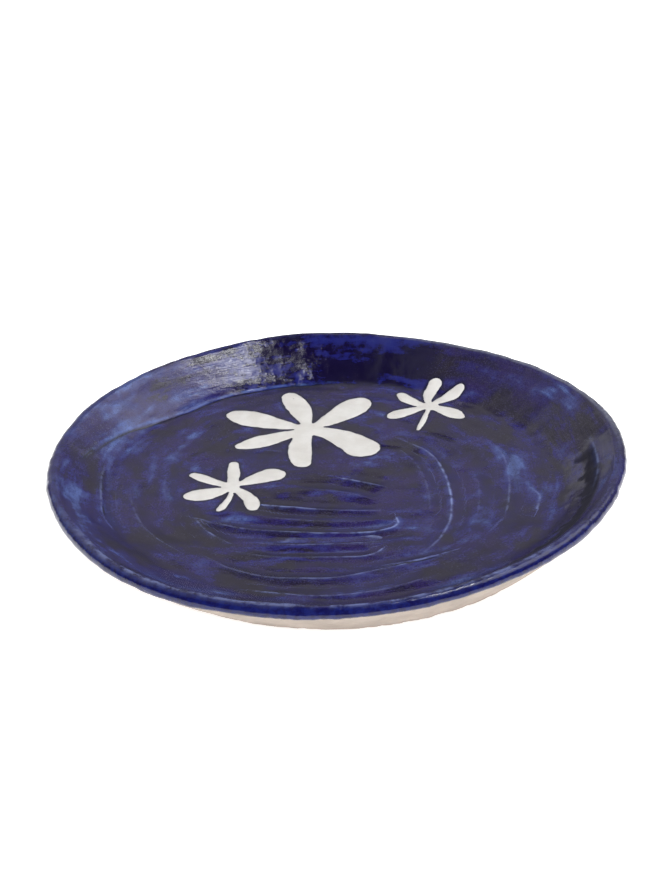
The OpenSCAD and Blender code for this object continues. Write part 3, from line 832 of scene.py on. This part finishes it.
    # painted reflection: a pale band on the top of the lip at the back right
    lip_sheen_paint = T.math("MULTIPLY", T.attr("shine"), T.ramp(mottle, 0.0, 1.0, 0.45, 0.9))
    colour = T.mix(lip_sheen_paint, colour, (0.130, 0.135, 0.180))
    # painted dark reflection along the foot of the wall at the front right
    colour = T.mix(T.math("MULTIPLY", T.attr("shade"), 0.92), colour, (0.0030, 0.0022, 0.012))
    # pooled in the grooves and dark round the flowers
    colour = T.mix(T.math("MULTIPLY", T.attr("pool"), 0.6, clamp=True), colour, (0.0040, 0.0030, 0.022))
    petal = T.ramp(T.attr("petal"), 0.5, 2.4, 0.8, 0.0)
    colour = T.mix(petal, colour, (0.0035, 0.0025, 0.020))
    # pale over the ridges, in thin broken lines
    broken = T.ramp(T.noise(T.vmath("SCALE", pos, scale=1 / 5.0), detail=3.0, rough=0.55), 0.36, 0.60, 0.20, 1.05)
    ridge = T.math("MULTIPLY", T.math("MULTIPLY", near("ridge_d", 0.58), T.attr("glow")), broken, clamp=True)
    soft = T.math("MULTIPLY", T.math("MULTIPLY", near("ridge_d", 1.7, -0.9), T.attr("glow")), T.math("MULTIPLY", broken, 0.30))
    colour = T.mix(soft, colour, (0.045, 0.075, 0.30))
    colour = T.mix(T.math("MULTIPLY", ridge, 0.80), colour, (0.20, 0.25, 0.50))
    # pale line along the lip's inner edge, strongest over the front: thin glaze breaking over the edge, and partly a
    # painted highlight
    edge_n = T.ramp(T.noise(T.vmath("SCALE", pos, scale=1 / 9.0), detail=4.0, rough=0.65), 0.40, 0.62, 0.05, 0.75)
    edge = T.math("MULTIPLY", near("edge_d", 1.7, 1.6), T.math("MULTIPLY", edge_n, T.ramp(T.math("ADD", s, T.math("MULTIPLY", T.ramp(c, 0.0, 0.7), 0.25)), -0.25, -0.62, 0.16, 1.5)), clamp=True)
    colour = T.mix(edge, colour, (0.090, 0.110, 0.25))
    crease_l = T.math("MULTIPLY", T.math("MULTIPLY", near("crease", 0.8, 1.7), T.attr("crisp")), broken)
    colour = T.mix(T.math("MULTIPLY", crease_l, 0.45), colour, (0.07, 0.13, 0.40))
    # painted shade: a dark line along the bottom of the crease between floor and wall at the back left
    crease_shade_line = T.math("MULTIPLY", near("crease", 0.9, -0.2), T.attr("crisp"))
    colour = T.mix(T.math("MULTIPLY", crease_shade_line, 0.9), colour, (0.0022, 0.0018, 0.012))
    colour = T.mix(T.math("MULTIPLY", near("cut", 0.50), T.attr("cut_end")), colour, (0.0012, 0.0010, 0.010))
    # it gathers in a purplish brown fringe where it ends on the clay
    hem_n = T.math("MULTIPLY_ADD", T.noise(T.vmath("SCALE", pos, scale=1 / 1.3), detail=3.0), 2.2, -0.6)
    hem = T.ramp(T.math("SUBTRACT", T.attr("hem"), hem_n), 0.05, 0.7, 1.0, 0.0)
    colour = T.mix(T.math("MULTIPLY", hem, 0.7), colour, (0.060, 0.040, 0.055))
    # pin-size specks, pale and greenish, where the glaze crawled, and small brown ones
    crawl = T.math("MULTIPLY_ADD", T.attr("rough_spot"), 1.0, T.ramp(grain, 0.66, 0.80, 0.0, 0.5), clamp=True)
    vo = T.voronoi(T.vmath("SCALE", pos, scale=1.0), 0.75)
    speck = T.math("MULTIPLY", T.ramp(vo["Distance"], 0.30, 0.18), crawl)
    colour = T.mix(T.math("MULTIPLY", speck, 0.55), colour, (0.10, 0.13, 0.20))
    vb = T.voronoi(T.vmath("SCALE", pos, scale=1.0), 0.30)
    brown = T.math("MULTIPLY", T.ramp(vb["Distance"], 0.24, 0.12), T.ramp(violet, 0.44, 0.36))
    colour = T.mix(T.math("MULTIPLY", brown, 0.5), colour, (0.030, 0.024, 0.022))
    T.set(T.b.inputs["Base Color"], colour)
    rough = T.math("MULTIPLY_ADD", T.ramp(blot, 0.3, 0.7), 0.09, T.math("MULTIPLY_ADD", grain, 0.06, 0.06))
    rough = T.math("ADD", rough, T.math("MULTIPLY", T.attr("rough_spot"), 0.06))
    rough = T.math("ADD", rough, T.math("MULTIPLY", T.attr("shade"), 0.50))
    T.set(T.b.inputs["Roughness"], rough)
    T.b.inputs["IOR"].default_value = 1.52
    # the surface keeps the drag of the brush and an orange-peel skin
    height = T.math("MULTIPLY_ADD", hair, 0.45, T.math("MULTIPLY_ADD", mid, 1.0, T.math("MULTIPLY", blot, 1.3)))
    height = T.math("ADD", height, T.math("MULTIPLY", T.attr("rough_spot"), T.math("MULTIPLY", grain, 2.2)))
    nrm = T.bump(height, 0.32, 0.0007)
    nrm = T.bump(grain, 0.16, 0.00035, nrm)
    T.set(T.b.inputs["Normal"], nrm)
    return T.m


def enamel_material():
    T = Tree("white_enamel")
    pos = T.vmath("SCALE", T.new("ShaderNodeTexCoord").outputs["Object"], scale=1000.0)
    soft = T.noise(T.vmath("SCALE", pos, scale=1 / 9.0), detail=3.0)
    fine = T.noise(T.vmath("SCALE", pos, scale=1 / 0.8), detail=3.0)
    col = T.mix(T.ramp(soft, 0.35, 0.65), (0.56, 0.54, 0.515), (0.62, 0.605, 0.585))
    col = T.mix(T.ramp(fine, 0.55, 0.75, 0.0, 0.35), col, (0.50, 0.475, 0.45))
    vo = T.voronoi(T.vmath("SCALE", pos, scale=1.0), 0.21)
    pick = T.ramp(T.noise(T.vmath("SCALE", pos, scale=1 / 6.0), detail=2.0), 0.60, 0.64)
    speck = T.math("MULTIPLY", T.ramp(vo["Distance"], 0.115, 0.075), pick)
    col = T.mix(T.math("MULTIPLY", speck, 0.85), col, (0.03, 0.028, 0.04))
    T.set(T.b.inputs["Base Color"], col)
    T.set(T.b.inputs["Roughness"], T.ramp(fine, 0.3, 0.7, 0.30, 0.46))
    T.b.inputs["IOR"].default_value = 1.5
    nrm = T.bump(T.math("MULTIPLY_ADD", fine, 0.4, soft), 0.25, 0.0004)
    T.set(T.b.inputs["Normal"], nrm)
    return T.m


def clay_material(name, tint, turn):
    T = Tree(name)
    pos = T.vmath("SCALE", T.new("ShaderNodeTexCoord").outputs["Object"], scale=1000.0)
    X, Y, Z = T.split(pos)
    r = T.math("MAXIMUM", T.vmath("LENGTH", T.xyz(X, Y, 0.0)), 1.0)
    c, s = T.math("DIVIDE", X, r), T.math("DIVIDE", Y, r)
    drag = T.noise(T.xyz(T.math("MULTIPLY", c, 9.0), T.math("MULTIPLY", s, 9.0), T.math("MULTIPLY", T.math("ADD", r, Z), 1 / turn)), detail=3.0, rough=0.6)
    soft = T.noise(T.vmath("SCALE", pos, scale=1 / 16.0), detail=3.0)
    grit = T.noise(T.vmath("SCALE", pos, scale=1 / 0.55), detail=3.0, rough=0.65)
    pits = T.voronoi(T.vmath("SCALE", pos, scale=1.0), 0.55)
    pit = T.math("MULTIPLY", T.ramp(pits["Distance"], 0.20, 0.08), T.ramp(soft, 0.50, 0.62))
    a = tuple(t * 0.86 for t in tint)
    b = tuple(min(1.0, t * 1.10) for t in tint)
    col = T.mix(T.ramp(soft, 0.3, 0.7), a, b)
    col = T.mix(T.ramp(drag, 0.52, 0.72, 0.0, 0.5), col, tuple(t * 0.74 for t in tint))
    col = T.mix(T.ramp(grit, 0.58, 0.75, 0.0, 0.5), col, (tint[0] * 0.68, tint[1] * 0.60, tint[2] * 0.52))
    col = T.mix(T.math("MULTIPLY", pit, 0.6), col, (tint[0] * 0.42, tint[1] * 0.35, tint[2] * 0.30))
    T.set(T.b.inputs["Base Color"], col)
    T.set(T.b.inputs["Roughness"], T.ramp(grit, 0.3, 0.7, 0.78, 0.95))
    T.b.inputs["IOR"].default_value = 1.45
    hgt = T.math("SUBTRACT", T.math("MULTIPLY_ADD", grit, 0.35, T.math("MULTIPLY", drag, 0.9)), T.math("MULTIPLY", pit, 0.8))
    T.set(T.b.inputs["Normal"], T.bump(hgt, 0.45, 0.0005))
    return T.m


coat.data.materials.append(glaze_material())
white = enamel_material()
for f in flowers:
    f.data.materials.append(white)
clay.data.materials.append(clay_material("bare_clay_cream", (0.375, 0.318, 0.276), 1.3))
foot.data.materials.append(clay_material("foot_clay_worn", (0.335, 0.275, 0.230), 0.9))
# the CAD nodes that these pieces stand for keep the same finishes
for node, src in (("cobalt_glaze", coat), ("clay_body", clay), ("foot_ring", foot), ("flower_large", flowers[0]),
                  ("flower_small_left", flowers[1]), ("flower_small_right", flowers[2])):
    me = NODES[node].data
    me.materials.clear()
    me.materials.append(src.data.materials[0])

# ------------------------------------------------------------------ stage
me = bpy.data.meshes.new("studio_floor")
S = 6.0
me.from_pydata([(-S, -S, 0), (S, -S, 0), (S, S, 0), (-S, S, 0)], [], [(0, 1, 2, 3)])
floor = bpy.data.objects.new("studio_floor", me)
bpy.context.scene.collection.objects.link(floor)
F = Tree("pale_paper")
fp = F.vmath("SCALE", F.new("ShaderNodeTexCoord").outputs["Object"], scale=40.0)
F.set(F.b.inputs["Base Color"], F.mix(F.noise(fp, detail=2.0), (0.86, 0.86, 0.86), (0.90, 0.90, 0.90)))
F.b.inputs["Roughness"].default_value = 0.9
F.b.inputs["Specular IOR Level"].default_value = 0.2
# lit from below as well, like a light table
F.b.inputs["Emission Color"].default_value = (1, 1, 1, 1)
F.b.inputs["Emission Strength"].default_value = 0.65
floor.data.materials.append(F.m)


def aim(o, where, at):
    o.location = Vector(where)
    o.rotation_euler = (Vector(at) - Vector(where)).to_track_quat("-Z", "Y").to_euler()


def area(name, where, at, size, power, colour=(1, 1, 1), glossy=True, size_y=None):
    l = bpy.data.lights.new(name, "AREA")
    l.energy = power
    l.color = colour
    l.size = size
    if size_y:
        l.shape = "RECTANGLE"
        l.size_y = size_y
    o = bpy.data.objects.new(name, l)
    bpy.context.scene.collection.objects.link(o)
    aim(o, where, at)
    o.visible_glossy = glossy
    return o


sun = bpy.data.lights.new("front_fill", "SUN")
sun.energy = 3.5
sun.angle = math.radians(80)
so = bpy.data.objects.new("front_fill", sun)
bpy.context.scene.collection.objects.link(so)
aim(so, (0.16, -0.90, 1.05), (0, 0, 0))
so.visible_glossy = False

# the room: a pale wall behind the plate, a large soft box to the right, a dimmer one to the left, dark overhead
world = bpy.data.worlds.new("studio")
bpy.context.scene.world = world
world.use_nodes = True
W = Tree("", world=world)
wo = W.new("ShaderNodeOutputWorld")
bg = W.new("ShaderNodeBackground")
dx, dy, dz = W.split(W.new("ShaderNodeTexCoord").outputs["Generated"])
wr = W.new("ShaderNodeValToRGB")
W.t.links.new(dz, wr.inputs[0])
els = wr.color_ramp.elements
els[0].position, els[0].color = 0.0, (0.20, 0.20, 0.21, 1)
els[1].position, els[1].color = 1.0, (0.04, 0.04, 0.045, 1)
for p_, v_ in ((0.20, 0.22), (0.36, 0.31), (0.43, 0.42), (0.49, 0.53), (0.55, 0.62), (0.61, 0.44), (0.68, 0.20), (0.77, 0.10), (0.86, 0.06)):
    e = els.new(p_)
    e.color = (v_, v_, v_ * 1.03, 1)
behind = W.ramp(dy, -0.20, 0.30, 0.18, 1.0)
level = W.math("MULTIPLY", wr.outputs[0], behind)


def window(v, a, b, c, d):
    return W.math("MULTIPLY", W.ramp(v, a, b), W.ramp(v, c, d, 1.0, 0.0))


soft_right = W.math("MULTIPLY", window(dx, 0.285, 0.305, 0.72, 0.80), W.math("MULTIPLY", W.math("MULTIPLY", W.ramp(dz, 0.47, 0.60), W.ramp(dy, 0.74, 0.50)), W.ramp(dy, -0.20, -0.12)))
soft_left = W.math("MULTIPLY", window(dx, -0.80, -0.70, -0.235, -0.195), W.math("MULTIPLY", W.ramp(dz, 0.5, 0.62), W.ramp(dy, -0.20, -0.12)))
low_left = W.math("MULTIPLY", window(dx, -0.64, -0.52, -0.32, -0.22), W.math("MULTIPLY", window(dz, 0.04, 0.14, 0.32, 0.44), W.ramp(dy, 0.2, 0.5)))
lamp = W.vmath("DOT_PRODUCT", W.xyz(dx, dy, dz), (0.290, 0.165, 0.943))
spot = W.ramp(lamp, 0.9968, 0.9984)
total = W.math("ADD", level, W.math("MULTIPLY", soft_right, 2.0))
total = W.math("ADD", total, W.math("MULTIPLY", soft_left, 0.35))
total = W.math("ADD", total, W.math("MULTIPLY", low_left, 0.45))
total = W.math("ADD", total, W.math("MULTIPLY", spot, 26.0))
W.t.links.new(total, bg.inputs[1])
bg.inputs[0].default_value = (0.98, 0.99, 1.0, 1)
W.t.links.new(bg.outputs[0], wo.inputs[0])

# ------------------------------------------------------------------ camera, at the photograph's viewing angle
ELEV, DIST, F_PX = 28.5, 1.300, 2487.3
target = Vector(((1.6 - MID[0]) * MM, (0.05 - MID[1]) * MM, 0.026))
e = math.radians(ELEV)
cam = bpy.data.cameras.new("camera")
cam.lens = F_PX * 36.0 / 893.0
cam.sensor_width = 36.0
cam.clip_start, cam.clip_end = 0.05, 50
co = bpy.data.objects.new("camera", cam)
bpy.context.scene.collection.objects.link(co)
up_px, right_px = 460.6 - 446.5, 335.1 - 334.5
pitch = math.atan(up_px / F_PX)
rot = Matrix.Rotation(math.radians(90 - ELEV), 4, "X")
# the plate sits a little below the middle of the frame, and the camera is rolled slightly
rot = rot @ Matrix.Rotation(math.radians(-1.2), 4, "Z") @ Matrix.Rotation(pitch, 4, "X") @ Matrix.Rotation(math.atan(right_px / F_PX), 4, "Y")
co.matrix_world = Matrix.Translation(target + DIST * Vector((0, -math.cos(e), math.sin(e)))) @ rot
bpy.context.scene.camera = co
bpy.context.scene.view_settings.view_transform = "Standard"
